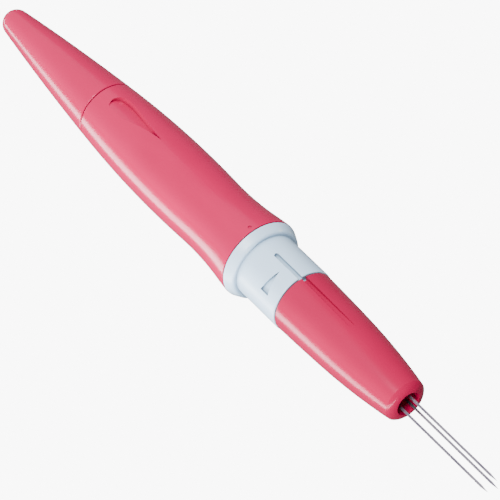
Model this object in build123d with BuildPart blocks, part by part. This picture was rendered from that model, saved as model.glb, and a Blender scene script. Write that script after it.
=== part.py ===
from build123d import *
from math import cos, radians, sin
import os

os.makedirs("parts", exist_ok=True)

# Pen-style needle-felting tool, lying along X with its needles towards +X.
# The origin is the middle of the bounding box at its bottom, so the tool's
# axis runs at the height of its widest ring. Millimetres throughout.

# ---- lengths along the tool, rear to front --------------------------------
tail_length = 33.9
barrel_length = 47.45
neck_length = 13.15
nose_length = 29.85
needle_reach = 23.05

# ---- outside radii --------------------------------------------------------
tail_tip_radius = 2.8
seam_radius = 6.28
swell_radius = 7.34
waist_radius = 7.14
flare_radius = 8.07
collar_front_radius = 7.25
neck_radius = 6.42
nose_rear_radius = 6.3
nose_shoulder_radius = 5.88
nose_front_radius = 4.17

# ---- where the outline's features stand -----------------------------------
swell_from_seam = 20.7
waist_from_front = 15.05
flare_from_front = 3.25
flare_mid_radius = 7.7
shoulder_from_nose_rear = 12.7
nose_lip_length = 0.95
nose_lip_mid_length = 0.4
nose_lip_mid_radius = 3.6
collar_width = 1.9
collar_round = 0.6
edge_round = 0.25
seam_round = 0.22
rim_round = 0.1

# ---- walls, sockets and clearances ----------------------------------------
slide_clearance = 0.07
seam_gap = 0.14
end_gap = 0.3
tail_spigot_length = 8.5
tail_spigot_radius = 4.7
tail_spigot_wall = 1.1
tail_bore_tip_radius = 1.5
tail_bore_end_wall = 5.0
bayonet_bore_radius = 5.9
lock_ring_seat = 0.7

# ---- bayonet between the barrel and the neck ------------------------------
lock_ring_thickness = 2.3
lock_stud_radius = 2.4
lock_rim_width = 1.4
lock_lug_width = 2.4
lock_lug_thickness = 1.6
lock_slot_clearance = 0.2
lock_turn = 60.0
web_thickness = 1.2
friction_ring_section = 1.0
friction_ring_from_front = 5.0
friction_ring_depth = 1.0
ring_clearance = 0.03

# ---- neck, nose socket and key --------------------------------------------
neck_plug_wall = 1.23
neck_spigot_wall = 0.7
neck_spigot_length = 8.2
key_width = 0.6
key_height = 0.3
key_clearance = 0.12
mouth_radius = 2.37
mouth_land = 4.0
mouth_round = 0.15
nose_key_length = 6.0
key_root = 0.15

# ---- needles and their holder ---------------------------------------------
needle_length = 76.0
needle_circle_radius = 1.42
needle_angles = (-25.5, 94.5, 214.5)
shank_radius = 0.915
shank_length = 44.0
shank_taper = 2.0
blade_neck_radius = 0.22
blade_overlap = 1.5
intermediate_radius = 0.6
blade_length = 25.0
blade_radius = 0.27
point_length = 1.6
point_radius = 0.04
crank_bend_slack = 0.1
crank_end_gap = 0.2
barb_spacing = 6.36
barb_stagger = 2.12
first_barb = 3.2
barbs_per_edge = 3
barb_depth = 0.09
barb_length = 0.45
needle_clearance = 0.03
holder_front_past_spigot = 2.0
holder_nose_step = 1.03
holder_nose_length = 4.0
holder_boss_length = 3.6
retainer_wall = 0.73
retainer_thickness = 1.2

# ---- marks on the outside -------------------------------------------------
leaf_length = 15.0
leaf_half_width = 1.4
leaf_from_seam = 3.4
leaf_widest = 5.8
leaf_lean = 30.0
leaf_surface_radius = 7.0
leaf_reach = 2.5
leaf_floor_shift = 1.8
leaf_floor_drop = 0.28
dot_radius = 0.35
dot_from_front = 1.05
dot_angle = 3.0
dot_depth = 0.25
neck_groove_width = 0.85
neck_groove_depth = 0.6
neck_groove_length = 7.45
arrow_from_front = 3.8
arrow_base = 2.1
arrow_sweep = 42.0
arrow_angle = 37.0
arrow_depth = 0.45
nose_mark_angle = -5.5
nose_notch_width = 0.95
nose_notch_length = 0.5
nose_groove_width = 1.0
nose_groove_floor_radius = 5.72
nose_groove_length = 14.0

# ---- radii that follow from the walls --------------------------------------
barrel_cavity_radius = bayonet_bore_radius - lock_ring_seat
lock_lug_radius = bayonet_bore_radius - lock_rim_width
neck_plug_radius = bayonet_bore_radius - slide_clearance
neck_bore_radius = neck_plug_radius - neck_plug_wall
neck_spigot_radius = neck_bore_radius + neck_spigot_wall
core_radius = neck_bore_radius - slide_clearance
holder_nose_radius = core_radius - holder_nose_step
holder_boss_radius = core_radius - retainer_wall
crank_reach = holder_boss_radius - crank_end_gap
crank_bend_radius = shank_radius + crank_bend_slack

# ---- stations along X -----------------------------------------------------
overall_length = tail_length + barrel_length + neck_length + nose_length + needle_reach
tail_tip_x = -overall_length / 2
seam_x = tail_tip_x + tail_length
barrel_front_x = seam_x + barrel_length
nose_rear_x = barrel_front_x + neck_length
mouth_x = nose_rear_x + nose_length
needle_tip_x = mouth_x + needle_reach
needle_back_x = needle_tip_x - needle_length
retainer_back_x = needle_back_x - retainer_thickness
web_front_x = retainer_back_x - seam_gap
web_back_x = web_front_x - web_thickness
lock_ring_front_x = web_back_x - end_gap
lock_ring_back_x = lock_ring_front_x - lock_ring_thickness
lug_front_x = lock_ring_back_x - end_gap
stud_back_x = lug_front_x - lock_lug_thickness
tail_spigot_front_x = seam_x + tail_spigot_length
neck_spigot_front_x = nose_rear_x + neck_spigot_length
nose_shoulder_x = neck_spigot_front_x + end_gap
holder_front_x = neck_spigot_front_x + holder_front_past_spigot
crank_x = needle_back_x + shank_radius
holder_boss_front_x = needle_back_x + holder_boss_length

axis_height = flare_radius
tool_axis = Axis((0, 0, axis_height), (1, 0, 0))
section_plane = Plane(origin=(0, 0, axis_height), x_dir=(1, 0, 0), z_dir=(0, -1, 0))


def cross_plane(x):
    """A plane across the tool at x; its own x and y run along Y and Z."""
    return Plane(origin=(x, 0, axis_height), x_dir=(0, 1, 0), z_dir=(1, 0, 0))


def radial_plane(angle):
    """A plane holding the tool's axis; its y points outward, angle degrees from +Z to -Y."""
    turn = radians(angle)
    return Plane(origin=(0, 0, axis_height), x_dir=(1, 0, 0), z_dir=(0, -cos(turn), -sin(turn)))


def facing_plane(angle):
    """A plane along the tool's axis that faces outward, angle degrees from +Z to -Y."""
    turn = radians(angle)
    return Plane(origin=(0, 0, axis_height), x_dir=(1, 0, 0), z_dir=(0, -sin(turn), cos(turn)))


def section(*corners):
    """A closed half-section with straight sides, as (x, radius) corners."""
    with BuildSketch(section_plane) as half:
        with BuildLine():
            Polyline(*corners, close=True)
        make_face()
    return half.sketch


def band(back_x, front_x, inner_radius, outer_radius):
    """The half-section of a plain ring."""
    return section(
        (back_x, inner_radius),
        (front_x, inner_radius),
        (front_x, outer_radius),
        (back_x, outer_radius),
    )


def barrel_profile():
    """The barrel's half-section, filled in to the axis."""
    with BuildSketch(section_plane) as half:
        with BuildLine():
            swell = TangentArc(
                (seam_x, seam_radius),
                (seam_x + swell_from_seam, swell_radius),
                tangent=(1, 0.095),
            )
            waist = TangentArc(
                swell @ 1,
                (barrel_front_x - waist_from_front, waist_radius),
                tangent=swell % 1,
            )
            flare = TangentArc(
                waist @ 1,
                (barrel_front_x - flare_from_front, flare_mid_radius),
                tangent=waist % 1,
            )
            TangentArc(
                flare @ 1,
                (barrel_front_x, flare_radius),
                tangent=flare % 1,
            )
            Polyline(
                (barrel_front_x, flare_radius),
                (barrel_front_x, 0),
                (seam_x, 0),
                (seam_x, seam_radius),
            )
        make_face()
        fillet(half.vertices().group_by(Axis.X)[0].sort_by(Axis.Y)[-1], seam_round)
        fillet(half.vertices().group_by(Axis.X)[-1].sort_by(Axis.Y)[-1], rim_round)
    return half.sketch


# ---- tail cone: a hollow tapered plug pushed into the barrel's rear --------
taper_angle = 7.7
dome_centre_x = tail_tip_x + tail_tip_radius
taper_start_x = dome_centre_x - tail_tip_radius * sin(radians(taper_angle))
taper_start_radius = tail_tip_radius * cos(radians(taper_angle))
tail_face_x = seam_x - seam_gap
spigot_bore_radius = tail_spigot_radius - slide_clearance - tail_spigot_wall
with BuildPart() as tail_cone:
    with BuildSketch(section_plane) as tail_half:
        with BuildLine():
            CenterArc((dome_centre_x, 0), tail_tip_radius, 180, taper_angle - 90)
            Spline(
                (taper_start_x, taper_start_radius),
                (tail_face_x, seam_radius),
                tangents=[(1, 0.135), (1, 0.09)],
            )
            Polyline((tail_face_x, seam_radius), (tail_face_x, 0), (tail_tip_x, 0))
        make_face()
        fillet(tail_half.vertices().group_by(Axis.X)[-1].sort_by(Axis.Y)[-1], seam_round)
    revolve(axis=tool_axis)
    revolve(
        band(tail_face_x, tail_spigot_front_x, 0, tail_spigot_radius - slide_clearance),
        axis=tool_axis,
    )
    revolve(
        section(
            (tail_tip_x + tail_bore_end_wall, 0),
            (tail_tip_x + tail_bore_end_wall, tail_bore_tip_radius),
            (tail_face_x, spigot_bore_radius),
            (tail_spigot_front_x, spigot_bore_radius),
            (tail_spigot_front_x, 0),
        ),
        axis=tool_axis,
        mode=Mode.SUBTRACT,
    )
tail_cone.part.label = "tail_cone"
export_step(tail_cone.part, "parts/tail_cone.step")

# ---- barrel: the swelling grip, with a leaf-shaped finger mark on top ------
# The mark's far wall leans, and its floor is the barrel's own outline moved down and
# to one side, so that the mark is shallow along one edge and deep along the other.
leaf_plane = Plane(
    origin=(seam_x + leaf_from_seam, 0, axis_height + leaf_surface_radius),
    x_dir=(1, 0, 0),
    z_dir=(0, sin(radians(leaf_lean)), cos(radians(leaf_lean))),
)
with BuildPart() as leaf_floor:
    revolve(barrel_profile(), axis=tool_axis)

with BuildPart() as leaf_cutter:
    with BuildSketch(leaf_plane):
        with BuildLine():
            leaf_side = Spline(
                (0, 0),
                (leaf_widest, leaf_half_width),
                (leaf_length, 0),
                tangents=[(0.15, 1), (1, -0.1)],
            )
            mirror(leaf_side, about=Plane.XZ)
        make_face()
    extrude(amount=leaf_reach, both=True)
    add(
        leaf_floor.part.moved(Location((0, -leaf_floor_shift, -leaf_floor_drop))),
        mode=Mode.SUBTRACT,
    )

with BuildPart() as barrel:
    revolve(barrel_profile(), axis=tool_axis)
    revolve(
        band(seam_x, tail_spigot_front_x + end_gap, 0, tail_spigot_radius),
        axis=tool_axis,
        mode=Mode.SUBTRACT,
    )
    revolve(
        band(tail_spigot_front_x + end_gap, lock_ring_back_x, 0, barrel_cavity_radius),
        axis=tool_axis,
        mode=Mode.SUBTRACT,
    )
    revolve(
        band(lock_ring_back_x, barrel_front_x, 0, bayonet_bore_radius),
        axis=tool_axis,
        mode=Mode.SUBTRACT,
    )
    add(leaf_cutter.part, mode=Mode.SUBTRACT)
    with BuildSketch(facing_plane(dot_angle).offset(flare_radius - dot_depth)):
        with Locations((barrel_front_x - dot_from_front, 0)):
            Circle(dot_radius)
    extrude(amount=flare_radius, mode=Mode.SUBTRACT)
barrel.part.label = "barrel"
export_step(barrel.part, "parts/barrel.step")

# ---- lock ring: pressed to the bottom of the barrel's front bore -----------
with BuildPart() as lock_ring:
    with BuildSketch(cross_plane(lock_ring_back_x)):
        Circle(bayonet_bore_radius)
        Circle(lock_stud_radius + slide_clearance, mode=Mode.SUBTRACT)
        Rectangle(
            2 * (lock_lug_radius + lock_slot_clearance),
            lock_lug_width + 2 * lock_slot_clearance,
            rotation=-lock_turn,
            mode=Mode.SUBTRACT,
        )
    extrude(amount=lock_ring_thickness)
lock_ring.part.label = "lock_ring"
export_step(lock_ring.part, "parts/lock_ring.step")

# ---- neck: collar, grooved neck and the spigots at both of its ends --------
friction_ring_x = barrel_front_x - friction_ring_from_front
friction_ring_mid_radius = bayonet_bore_radius - ring_clearance - friction_ring_section / 2
collar_back_x = barrel_front_x + seam_gap
collar_front_x = collar_back_x + collar_width
neck_front_x = nose_rear_x - seam_gap
arrow_x = nose_rear_x - arrow_from_front
arrow_half_chord = neck_radius * sin(radians(arrow_sweep / 2))
with BuildPart() as arrow_cutter:
    with BuildSketch(facing_plane(arrow_angle).offset(neck_radius / 2)):
        with BuildLine():
            Polyline(
                (arrow_x - arrow_base / 2, -arrow_half_chord),
                (arrow_x + arrow_base / 2, -arrow_half_chord),
                (arrow_x, arrow_half_chord),
                close=True,
            )
        make_face()
    extrude(amount=neck_radius)
    revolve(
        band(collar_front_x, nose_rear_x, 0, neck_radius - arrow_depth),
        axis=tool_axis,
        mode=Mode.SUBTRACT,
    )

with BuildPart() as neck:
    with BuildSketch(section_plane) as collar_half:
        with BuildLine():
            Polyline(
                (collar_back_x, 0),
                (collar_back_x, flare_radius),
                (collar_front_x, collar_front_radius),
                (collar_front_x, 0),
                close=True,
            )
        make_face()
        fillet(collar_half.vertices().group_by(Axis.X)[-1].sort_by(Axis.Y)[-1], collar_round)
        fillet(collar_half.vertices().group_by(Axis.X)[0].sort_by(Axis.Y)[-1], rim_round)
    revolve(axis=tool_axis)
    with BuildSketch(section_plane) as neck_half:
        with BuildLine():
            Polyline(
                (collar_front_x, 0),
                (collar_front_x, neck_radius),
                (neck_front_x, neck_radius),
                (neck_front_x, 0),
                close=True,
            )
        make_face()
        fillet(neck_half.vertices().group_by(Axis.X)[-1].sort_by(Axis.Y)[-1], edge_round)
    revolve(axis=tool_axis)
    revolve(band(web_back_x, collar_back_x, 0, neck_plug_radius), axis=tool_axis)
    revolve(band(neck_front_x, neck_spigot_front_x, 0, neck_spigot_radius), axis=tool_axis)
    revolve(
        band(web_front_x, neck_spigot_front_x, 0, neck_bore_radius),
        axis=tool_axis,
        mode=Mode.SUBTRACT,
    )
    revolve(
        band(
            friction_ring_x - friction_ring_section / 2,
            friction_ring_x + friction_ring_section / 2,
            neck_plug_radius - friction_ring_depth,
            bayonet_bore_radius,
        ),
        axis=tool_axis,
        mode=Mode.SUBTRACT,
    )
    revolve(band(stud_back_x, web_back_x, 0, lock_stud_radius), axis=tool_axis)
    with BuildSketch(cross_plane(stud_back_x)):
        Circle(lock_lug_radius)
        Rectangle(2 * lock_lug_radius, lock_lug_width, mode=Mode.INTERSECT)
    extrude(amount=lock_lug_thickness)
    with BuildSketch(facing_plane(0).offset(neck_radius - neck_groove_depth)):
        with Locations((nose_rear_x - neck_groove_length + neck_groove_width / 2, 0)):
            Circle(neck_groove_width / 2)
        with Locations((nose_rear_x - neck_groove_length + neck_groove_width / 2, 0)):
            Rectangle(neck_groove_length, neck_groove_width, align=(Align.MIN, Align.CENTER))
    extrude(amount=neck_radius, mode=Mode.SUBTRACT)
    with BuildSketch(facing_plane(0).offset(neck_spigot_radius - key_height - key_clearance)):
        with Locations((neck_front_x, 0)):
            Rectangle(
                neck_spigot_length + seam_gap,
                key_width + 2 * key_clearance,
                align=(Align.MIN, Align.CENTER),
            )
    extrude(amount=neck_radius, mode=Mode.SUBTRACT)
    add(arrow_cutter.part, mode=Mode.SUBTRACT)
neck.part.label = "neck"
export_step(neck.part, "parts/neck.step")

# ---- friction ring: a rubber ring that gives the neck's turn its drag ------
with BuildPart() as friction_ring:
    with BuildSketch(section_plane):
        with Locations((friction_ring_x, friction_ring_mid_radius)):
            Circle(friction_ring_section / 2)
    revolve(axis=tool_axis)
friction_ring.part.label = "friction_ring"
export_step(friction_ring.part, "parts/friction_ring.step")

# ---- nose: a tapering sheath with a slot and groove at its rear edge -------
with BuildPart() as nose_groove_cutter:
    with BuildSketch(facing_plane(nose_mark_angle).offset(nose_groove_floor_radius)):
        with Locations((nose_rear_x, 0)):
            Rectangle(nose_groove_length, nose_groove_width, align=(Align.MIN, Align.CENTER))
    extrude(amount=nose_rear_radius)

with BuildPart() as nose:
    with BuildSketch(section_plane) as nose_half:
        with BuildLine():
            nose_flank = TangentArc(
                (nose_rear_x, nose_rear_radius),
                (nose_rear_x + shoulder_from_nose_rear, nose_shoulder_radius),
                tangent=(1, -0.02),
            )
            TangentArc(
                nose_flank @ 1,
                (mouth_x - nose_lip_length, nose_front_radius),
                tangent=nose_flank % 1,
            )
            ThreePointArc(
                (mouth_x - nose_lip_length, nose_front_radius),
                (mouth_x - nose_lip_mid_length, nose_lip_mid_radius),
                (mouth_x, mouth_radius + mouth_round),
            )
            Polyline(
                (mouth_x, mouth_radius + mouth_round),
                (mouth_x, 0),
                (nose_rear_x, 0),
                (nose_rear_x, nose_rear_radius),
            )
        make_face()
        fillet(nose_half.vertices().group_by(Axis.X)[0].sort_by(Axis.Y)[-1], edge_round)
    revolve(axis=tool_axis)
    revolve(
        section(
            (nose_rear_x, 0),
            (nose_rear_x, neck_spigot_radius + slide_clearance),
            (nose_shoulder_x, neck_spigot_radius + slide_clearance),
            (nose_shoulder_x, neck_bore_radius),
            (mouth_x - mouth_land, mouth_radius),
            (mouth_x, mouth_radius),
            (mouth_x, 0),
        ),
        axis=tool_axis,
        mode=Mode.SUBTRACT,
    )
    add(nose_groove_cutter.part, mode=Mode.SUBTRACT)
    with BuildSketch(facing_plane(nose_mark_angle)):
        with Locations((nose_rear_x, 0)):
            Rectangle(nose_notch_length, nose_notch_width, align=(Align.MIN, Align.CENTER))
    extrude(amount=2 * nose_rear_radius, mode=Mode.SUBTRACT)
    with BuildSketch(facing_plane(0).offset(neck_spigot_radius - key_height)):
        with Locations((nose_rear_x + nose_notch_length, 0)):
            Rectangle(nose_key_length, key_width, align=(Align.MIN, Align.CENTER))
    extrude(amount=key_height + key_root)
nose.part.label = "nose"
export_step(nose.part, "parts/nose.step")

# ---- needle holder: a three-bore core that slides into the neck ------------
crank_slot_depth = crank_bend_radius + shank_radius + needle_clearance
with BuildPart() as needle_holder:
    revolve(
        section(
            (needle_back_x, 0),
            (needle_back_x, holder_boss_radius),
            (holder_boss_front_x, holder_boss_radius),
            (holder_boss_front_x, core_radius),
            (holder_front_x - holder_nose_length, core_radius),
            (holder_front_x, holder_nose_radius),
            (holder_front_x, 0),
        ),
        axis=tool_axis,
    )
    for angle in needle_angles:
        with BuildSketch(radial_plane(angle)):
            with Locations((needle_back_x, needle_circle_radius)):
                Rectangle(
                    needle_length,
                    shank_radius + needle_clearance,
                    align=(Align.MIN, Align.MIN),
                )
        revolve(
            axis=Axis(
                radial_plane(angle).from_local_coords(Vector(0, needle_circle_radius, 0)),
                (1, 0, 0),
            ),
            mode=Mode.SUBTRACT,
        )
        with BuildSketch(facing_plane(angle).offset(needle_circle_radius)):
            with Locations((needle_back_x, 0)):
                Rectangle(
                    crank_slot_depth,
                    2 * (shank_radius + needle_clearance),
                    align=(Align.MIN, Align.CENTER),
                )
        extrude(amount=holder_boss_radius, mode=Mode.SUBTRACT)
needle_holder.part.label = "needle_holder"
export_step(needle_holder.part, "parts/needle_holder.step")

# ---- needle retainer: a cap that traps the cranks against the holder -------
with BuildPart() as needle_retainer:
    revolve(band(retainer_back_x, holder_boss_front_x, 0, core_radius), axis=tool_axis)
    revolve(
        band(needle_back_x, holder_boss_front_x, 0, holder_boss_radius),
        axis=tool_axis,
        mode=Mode.SUBTRACT,
    )
needle_retainer.part.label = "needle_retainer"
export_step(needle_retainer.part, "parts/needle_retainer.step")

# ---- needles: cranked shank, thinner middle and a barbed three-edged blade -
shank_front_x = crank_x + shank_length
blade_back_x = needle_tip_x - blade_length
point_x = needle_tip_x - point_length
for number, angle in enumerate(needle_angles, start=1):
    outward = radial_plane(angle)
    needle_start = outward.from_local_coords(Vector(0, needle_circle_radius, 0))
    with BuildPart() as needle:
        with BuildSketch(outward):
            with BuildLine():
                Polyline(
                    (crank_x + crank_bend_radius, needle_circle_radius),
                    (crank_x + crank_bend_radius, needle_circle_radius + shank_radius),
                    (shank_front_x, needle_circle_radius + shank_radius),
                    (shank_front_x + shank_taper, needle_circle_radius + intermediate_radius),
                    (blade_back_x - shank_taper, needle_circle_radius + intermediate_radius),
                    (blade_back_x, needle_circle_radius + blade_neck_radius),
                    (blade_back_x + blade_overlap, needle_circle_radius),
                    close=True,
                )
            make_face()
        revolve(axis=Axis(needle_start, (1, 0, 0)))
        with BuildLine(outward) as crank_path:
            RadiusArc(
                (crank_x + crank_bend_radius, needle_circle_radius),
                (crank_x, needle_circle_radius + crank_bend_radius),
                crank_bend_radius,
            )
            Line(
                (crank_x, needle_circle_radius + crank_bend_radius),
                (crank_x, crank_reach),
            )
        with BuildSketch(Plane(crank_path.line @ 0, z_dir=crank_path.line % 0)):
            Circle(shank_radius)
        sweep(path=crank_path.line)
        blade_section = Plane(origin=needle_start, x_dir=outward.y_dir, z_dir=(1, 0, 0))
        with BuildSketch(
            blade_section.offset(blade_back_x),
            blade_section.offset(point_x),
        ):
            RegularPolygon(blade_radius, 3)
        loft()
        with BuildSketch(blade_section.offset(point_x)):
            RegularPolygon(blade_radius, 3)
        with BuildSketch(blade_section.offset(needle_tip_x)):
            RegularPolygon(point_radius, 3)
        loft()
        for edge in range(3):
            barb_plane = Plane(
                origin=needle_start,
                x_dir=(1, 0, 0),
                z_dir=blade_section.rotated((0, 0, 120 * edge)).y_dir,
            )
            for row in range(barbs_per_edge):
                barb_x = needle_tip_x - first_barb - edge * barb_stagger - row * barb_spacing
                with BuildSketch(barb_plane):
                    with BuildLine():
                        Polyline(
                            (barb_x, blade_radius - barb_depth),
                            (barb_x, blade_radius + barb_depth),
                            (barb_x - barb_length, blade_radius + barb_depth),
                            (barb_x - barb_length, blade_radius),
                            close=True,
                        )
                    make_face()
                extrude(amount=blade_radius, both=True, mode=Mode.SUBTRACT)
    needle.part.label = f"needle_{number}"
    export_step(needle.part, f"parts/needle_{number}.step")
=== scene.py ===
import math

import bpy
from mathutils import Matrix, Vector


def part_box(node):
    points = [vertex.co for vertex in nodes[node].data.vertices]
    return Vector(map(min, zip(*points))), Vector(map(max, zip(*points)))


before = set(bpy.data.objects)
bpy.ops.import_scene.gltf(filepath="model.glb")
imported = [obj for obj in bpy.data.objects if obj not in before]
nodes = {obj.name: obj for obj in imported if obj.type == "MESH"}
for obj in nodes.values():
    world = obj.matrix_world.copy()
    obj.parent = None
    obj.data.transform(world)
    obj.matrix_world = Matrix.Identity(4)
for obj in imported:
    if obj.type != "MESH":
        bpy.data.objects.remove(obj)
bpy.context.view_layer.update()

# ---- places read from the frame -------------------------------------------
barrel_low, barrel_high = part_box("barrel")
axis_height = (barrel_low.z + barrel_high.z) / 2
barrel_front = barrel_high.x

# ---- camera: a long lens looking down the tool from the needle end --------
AIM_BEHIND_COLLAR = 0.00275
CAMERA_DISTANCE = 0.5704
CAMERA_LENS = 230.4
SENSOR_WIDTH = 36.0
TOWARD_CAMERA = Vector((0.5700, -0.3345, 0.7500))
CAMERA_UP = Vector((-0.5720, 0.4930, 0.6551))

# ---- studio ---------------------------------------------------------------
# Watts per square metre that give a rectangular lamp a brightness of one.
WATTS_PER_BRIGHTNESS = 4.0
# The softbox stands behind and to the left of the tool. Its near edge lies in the
# plane EDGE_NORMAL, so its reflection ends in a straight line along the barrel.
SOFTBOX_DIRECTION = Vector((-0.569, -0.460, 0.682)).normalized()
EDGE_NORMAL = Vector((-0.707, -0.646, -0.288)).normalized()
SOFTBOX_DISTANCE = 3.0
SOFTBOX_REACH = 0.9
SOFTBOX_LENGTH = 3.0
SOFTBOX_BRIGHTNESS = 0.75
# The overhead lamp gives most of the light, from where the barrel doesn't mirror it.
OVERHEAD_DIRECTION = Vector((0.15, -0.35, 0.92)).normalized()
OVERHEAD_DISTANCE = 3.0
OVERHEAD_SIZE = 1.6
OVERHEAD_BRIGHTNESS = 23.0
# A strip lamp lies along the tool's near side, facing up. The camera doesn't see it.
STRIP_PLACE = Vector((0.0, -0.0260, 0.0005))
STRIP_LENGTH = 0.30
STRIP_WIDTH = 0.018
STRIP_BRIGHTNESS = 14.0
# The floor and the sky glow only for the camera, so that the white doesn't light the tool.
WORLD_COLOUR = (0.93, 0.97, 1.0)
WORLD_BRIGHTNESS = 0.35
FLOOR_SIZE = 60.0
FLOOR_COLOUR = (0.12, 0.12, 0.12)
BACKDROP_BRIGHTNESS = 9.0

# ---- grain, gloss wear, painted edge highlight and painted gap shade, shared by the materials ---
PLASTIC_GRAIN = 5200.0
# Pointiness range over which the neck's sharp edges get a painted highlight.
EDGE_PAINTED_HIGHLIGHT = (0.54, 0.62)
# Reach of the painted shade that darkens the pink in gaps, grooves and creases.
GRIP_PAINTED_SHADE_REACH = 0.0008
# Reach of the painted shade in the neck's gaps and creases.
NECK_PAINTED_SHADE_REACH = 0.0016


def make_camera():
    data = bpy.data.cameras.new("camera")
    data.lens = CAMERA_LENS
    data.sensor_width = SENSOR_WIDTH
    data.clip_start = 0.01
    data.clip_end = 200.0
    camera = bpy.data.objects.new("camera", data)
    bpy.context.scene.collection.objects.link(camera)
    back = TOWARD_CAMERA.normalized()
    right = CAMERA_UP.cross(back).normalized()
    up = back.cross(right)
    turn = Matrix((right, up, back)).transposed().to_4x4()
    aim = Vector((barrel_front - AIM_BEHIND_COLLAR, 0.0, axis_height))
    camera.matrix_world = Matrix.Translation(aim + CAMERA_DISTANCE * back) @ turn
    bpy.context.scene.camera = camera


# ---- node helpers ---------------------------------------------------------
class Nodes:
    """A node tree, with short calls that add a node and return its output."""

    def __init__(self, tree):
        self.tree = tree

    def feed(self, socket, value):
        if isinstance(value, bpy.types.NodeSocket):
            self.tree.links.new(value, socket)
        elif isinstance(value, tuple) and socket.type == "RGBA":
            socket.default_value = (*value, 1)
        else:
            socket.default_value = value

    def place(self, factors=(1, 1, 1)):
        """Object coordinates in metres, stretched by the factors."""
        source = self.tree.nodes.new("ShaderNodeTexCoord")
        node = self.tree.nodes.new("ShaderNodeMapping")
        node.inputs["Scale"].default_value = factors
        self.feed(node.inputs["Vector"], source.outputs["Object"])
        return node.outputs["Vector"]

    def noise(self, place, scale, detail=2.0, roughness=0.5):
        node = self.tree.nodes.new("ShaderNodeTexNoise")
        node.inputs["Scale"].default_value = scale
        node.inputs["Detail"].default_value = detail
        node.inputs["Roughness"].default_value = roughness
        self.feed(node.inputs["Vector"], place)
        return node.outputs["Fac"]

    def spread(self, value, low, high, out_low=0.0, out_high=1.0):
        """Maps low..high to out_low..out_high."""
        node = self.tree.nodes.new("ShaderNodeMapRange")
        for name, number in (
            ("From Min", low),
            ("From Max", high),
            ("To Min", out_low),
            ("To Max", out_high),
        ):
            node.inputs[name].default_value = number
        self.feed(node.inputs["Value"], value)
        return node.outputs["Result"]

    def math(self, operation, first, second):
        node = self.tree.nodes.new("ShaderNodeMath")
        node.operation = operation
        self.feed(node.inputs[0], first)
        self.feed(node.inputs[1], second)
        return node.outputs["Value"]

    def mix(self, factor, first, second):
        node = self.tree.nodes.new("ShaderNodeMix")
        node.data_type = "RGBA"
        self.feed(node.inputs["Factor"], factor)
        colours = [socket for socket in node.inputs if socket.type == "RGBA"]
        self.feed(colours[0], first)
        self.feed(colours[1], second)
        return [socket for socket in node.outputs if socket.type == "RGBA"][0]

    def bump(self, height, distance, strength=1.0):
        node = self.tree.nodes.new("ShaderNodeBump")
        node.inputs["Strength"].default_value = strength
        node.inputs["Distance"].default_value = distance
        self.feed(node.inputs["Height"], height)
        return node.outputs["Normal"]

    def edges(self, low, high):
        """0 on flat ground, rising to 1 along sharp outer edges."""
        geometry = self.tree.nodes.new("ShaderNodeNewGeometry")
        return self.spread(geometry.outputs["Pointiness"], low, high)

    def openness(self, distance):
        """1 in the open, falling toward 0 down in a groove or a corner."""
        node = self.tree.nodes.new("ShaderNodeAmbientOcclusion")
        node.samples = 8
        node.inputs["Distance"].default_value = distance
        return node.outputs["AO"]

    def camera_ray(self):
        return self.tree.nodes.new("ShaderNodeLightPath").outputs["Is Camera Ray"]


def new_material(name):
    material = bpy.data.materials.new(name)
    material.use_nodes = True
    return Nodes(material.node_tree), material.node_tree.nodes["Principled BSDF"], material


# ---- studio: floor, world, softbox, overhead lamp and strip ------------------
def make_floor():
    bpy.ops.mesh.primitive_plane_add(size=FLOOR_SIZE, location=(0, 0, 0))
    floor = bpy.context.object
    floor.name = "floor"
    tree, shader, material = new_material("floor_paper")
    seen = tree.camera_ray()
    tree.feed(shader.inputs["Base Color"], tree.mix(seen, FLOOR_COLOUR, (0.0, 0.0, 0.0)))
    shader.inputs["Roughness"].default_value = 0.95
    shader.inputs["Specular IOR Level"].default_value = 0.0
    shader.inputs["Emission Color"].default_value = (1, 1, 1, 1)
    tree.feed(
        shader.inputs["Emission Strength"], tree.math("MULTIPLY", seen, BACKDROP_BRIGHTNESS)
    )
    floor.data.materials.append(material)


def make_world():
    world = bpy.data.worlds.new("studio")
    world.use_nodes = True
    background = world.node_tree.nodes["Background"]
    background.inputs["Color"].default_value = (*WORLD_COLOUR, 1)
    tree = Nodes(world.node_tree)
    glow = tree.math("MULTIPLY", tree.camera_ray(), BACKDROP_BRIGHTNESS)
    tree.feed(background.inputs["Strength"], tree.math("ADD", glow, WORLD_BRIGHTNESS))
    bpy.context.scene.world = world


def make_softbox():
    inward = (EDGE_NORMAL - EDGE_NORMAL.dot(SOFTBOX_DIRECTION) * SOFTBOX_DIRECTION).normalized()
    along = inward.cross(SOFTBOX_DIRECTION)
    near_edge = -EDGE_NORMAL.dot(SOFTBOX_DIRECTION) / EDGE_NORMAL.dot(inward)
    data = bpy.data.lights.new("softbox", "AREA")
    data.shape = "RECTANGLE"
    data.size = SOFTBOX_LENGTH * SOFTBOX_DISTANCE
    data.size_y = (SOFTBOX_REACH - near_edge) * SOFTBOX_DISTANCE
    data.energy = SOFTBOX_BRIGHTNESS * WATTS_PER_BRIGHTNESS * data.size * data.size_y
    light = bpy.data.objects.new("softbox", data)
    bpy.context.scene.collection.objects.link(light)
    middle = SOFTBOX_DIRECTION + (near_edge + SOFTBOX_REACH) / 2 * inward
    turn = Matrix((along, inward, SOFTBOX_DIRECTION)).transposed().to_4x4()
    light.matrix_world = Matrix.Translation(SOFTBOX_DISTANCE * middle) @ turn


def make_overhead():
    data = bpy.data.lights.new("overhead", "AREA")
    data.shape = "DISK"
    data.size = OVERHEAD_SIZE
    data.energy = OVERHEAD_BRIGHTNESS * math.pi * OVERHEAD_SIZE**2
    light = bpy.data.objects.new("overhead", data)
    bpy.context.scene.collection.objects.link(light)
    light.location = OVERHEAD_DISTANCE * OVERHEAD_DIRECTION
    light.rotation_euler = OVERHEAD_DIRECTION.to_track_quat("Z", "Y").to_euler()


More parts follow.
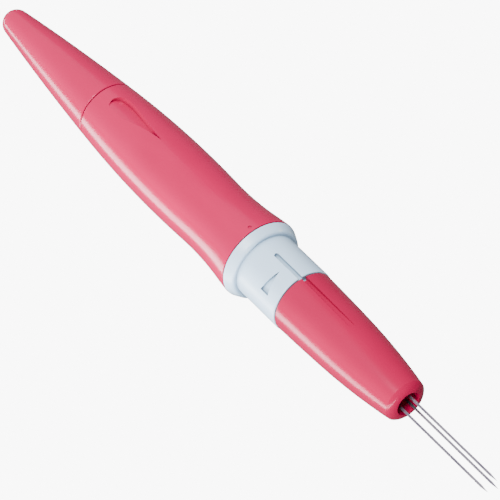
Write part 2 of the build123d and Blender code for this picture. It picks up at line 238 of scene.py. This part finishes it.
def make_strip():
    data = bpy.data.lights.new("strip", "AREA")
    data.shape = "RECTANGLE"
    data.size = STRIP_LENGTH
    data.size_y = STRIP_WIDTH
    data.energy = STRIP_BRIGHTNESS * WATTS_PER_BRIGHTNESS * STRIP_LENGTH * STRIP_WIDTH
    light = bpy.data.objects.new("strip", data)
    bpy.context.scene.collection.objects.link(light)
    light.location = STRIP_PLACE
    light.rotation_euler = (math.pi, 0.0, 0.0)
    light.visible_camera = False


# ---- materials ------------------------------------------------------------
def grip_plastic(name, pale, deep):
    """Pink moulded plastic with a satin gloss and faint flow marks, with painted shade
    darkening its gaps, grooves and creases.
    """
    tree, shader, material = new_material(name)
    flow = tree.noise(tree.place((0.35, 1, 1)), 160.0, 4.0, 0.55)
    cloud = tree.noise(tree.place(), 45.0, 2.0)
    grain = tree.noise(tree.place(), PLASTIC_GRAIN, 2.0, 0.6)
    shade = tree.spread(flow, 0.3, 0.7)
    base = tree.mix(shade, deep, pale)
    # Painted shade: the pink darkens to deep red where ambient occlusion finds a gap, groove or
    # crease.
    painted_gap_shade = tree.spread(tree.openness(GRIP_PAINTED_SHADE_REACH), 0.35, 0.85)
    tree.feed(shader.inputs["Base Color"], tree.mix(painted_gap_shade, (0.16, 0.002, 0.02), base))
    wear = tree.math("MULTIPLY", tree.spread(cloud, 0.35, 0.7), 0.04)
    polish = tree.math("ADD", tree.spread(grain, 0.2, 0.8, 0.16, 0.20), wear)
    tree.feed(shader.inputs["Roughness"], polish)
    shader.inputs["IOR"].default_value = 1.5
    shader.inputs["Specular Tint"].default_value = (1.0, 0.4, 0.5, 1)
    tree.feed(shader.inputs["Normal"], tree.bump(cloud, 0.00001, 0.2))
    return material


def neck_plastic():
    """Pale blue-grey moulded plastic, with a painted highlight along its sharp edges and
    painted shade in its gaps.
    """
    tree, shader, material = new_material("neck_plastic_pale")
    flow = tree.noise(tree.place((0.4, 1, 1)), 210.0, 4.0, 0.5)
    grain = tree.noise(tree.place(), PLASTIC_GRAIN, 2.0, 0.6)
    base = tree.mix(tree.spread(flow, 0.3, 0.7), (0.55, 0.74, 0.95), (0.59, 0.78, 0.98))
    # Painted highlight: the blue-grey lightens along sharp edges.
    base = tree.mix(tree.edges(*EDGE_PAINTED_HIGHLIGHT), base, (0.72, 0.87, 0.98))
    # Painted shade: darker blue-grey where ambient occlusion finds a gap or crease.
    painted_gap_shade = tree.spread(tree.openness(NECK_PAINTED_SHADE_REACH), 0.35, 0.9)
    tree.feed(shader.inputs["Base Color"], tree.mix(painted_gap_shade, (0.20, 0.29, 0.38), base))
    tree.feed(shader.inputs["Roughness"], tree.spread(grain, 0.2, 0.8, 0.26, 0.36))
    shader.inputs["IOR"].default_value = 1.5
    tree.feed(shader.inputs["Normal"], tree.bump(grain, 0.000005, 0.4))
    return material


def inner_plastic():
    """Plain white moulding, as it comes from the tool."""
    tree, shader, material = new_material("inner_plastic_white")
    flow = tree.noise(tree.place((0.3, 1, 1)), 300.0, 5.0, 0.6)
    grain = tree.noise(tree.place(), 3800.0, 3.0, 0.6)
    base = tree.mix(tree.spread(flow, 0.3, 0.7), (0.70, 0.70, 0.68), (0.78, 0.78, 0.76))
    tree.feed(shader.inputs["Base Color"], base)
    tree.feed(shader.inputs["Roughness"], tree.spread(grain, 0.2, 0.8, 0.42, 0.58))
    tree.feed(shader.inputs["Normal"], tree.bump(grain, 0.00001, 0.5))
    return material


def ring_rubber():
    """Black rubber with a matt, slightly dusty skin."""
    tree, shader, material = new_material("ring_rubber_black")
    dust = tree.noise(tree.place(), 900.0, 4.0, 0.6)
    grain = tree.noise(tree.place(), 6000.0, 3.0, 0.6)
    base = tree.mix(tree.spread(dust, 0.45, 0.75), (0.012, 0.012, 0.013), (0.035, 0.034, 0.033))
    tree.feed(shader.inputs["Base Color"], base)
    tree.feed(shader.inputs["Roughness"], tree.spread(grain, 0.2, 0.8, 0.55, 0.75))
    tree.feed(shader.inputs["Normal"], tree.bump(grain, 0.00001, 0.5))
    return material


def needle_steel():
    """Drawn carbon steel with fine polishing lines along the wire."""
    tree, shader, material = new_material("needle_steel_drawn")
    lines = tree.noise(tree.place((0.02, 1, 1)), 9000.0, 3.0, 0.6)
    tarnish = tree.noise(tree.place((0.5, 1, 1)), 420.0, 3.0, 0.55)
    base = tree.mix(tree.spread(tarnish, 0.4, 0.7), (0.30, 0.27, 0.33), (0.20, 0.18, 0.24))
    tree.feed(shader.inputs["Base Color"], base)
    shader.inputs["Metallic"].default_value = 1.0
    tree.feed(shader.inputs["Roughness"], tree.spread(lines, 0.25, 0.75, 0.24, 0.38))
    tree.feed(shader.inputs["Normal"], tree.bump(lines, 0.000004, 0.4))
    return material


def assign(material, *names):
    for name in names:
        nodes[name].data.materials.clear()
        nodes[name].data.materials.append(material)


make_camera()
make_floor()
make_world()
make_softbox()
make_overhead()
make_strip()
assign(
    grip_plastic("grip_plastic_pink", (0.53, 0.0030, 0.071), (0.48, 0.0023, 0.063)),
    "barrel",
    "tail_cone",
)
# The nose gets a darker copy of the grip pink: painted shade for the light falling off toward
# the nose.
assign(
    grip_plastic("nose_plastic_pink_painted_shade", (0.43, 0.0024, 0.055), (0.39, 0.0019, 0.048)),
    "nose",
)
assign(neck_plastic(), "neck")
assign(inner_plastic(), "lock_ring", "needle_holder", "needle_retainer")
assign(ring_rubber(), "friction_ring")
assign(needle_steel(), "needle_1", "needle_2", "needle_3")
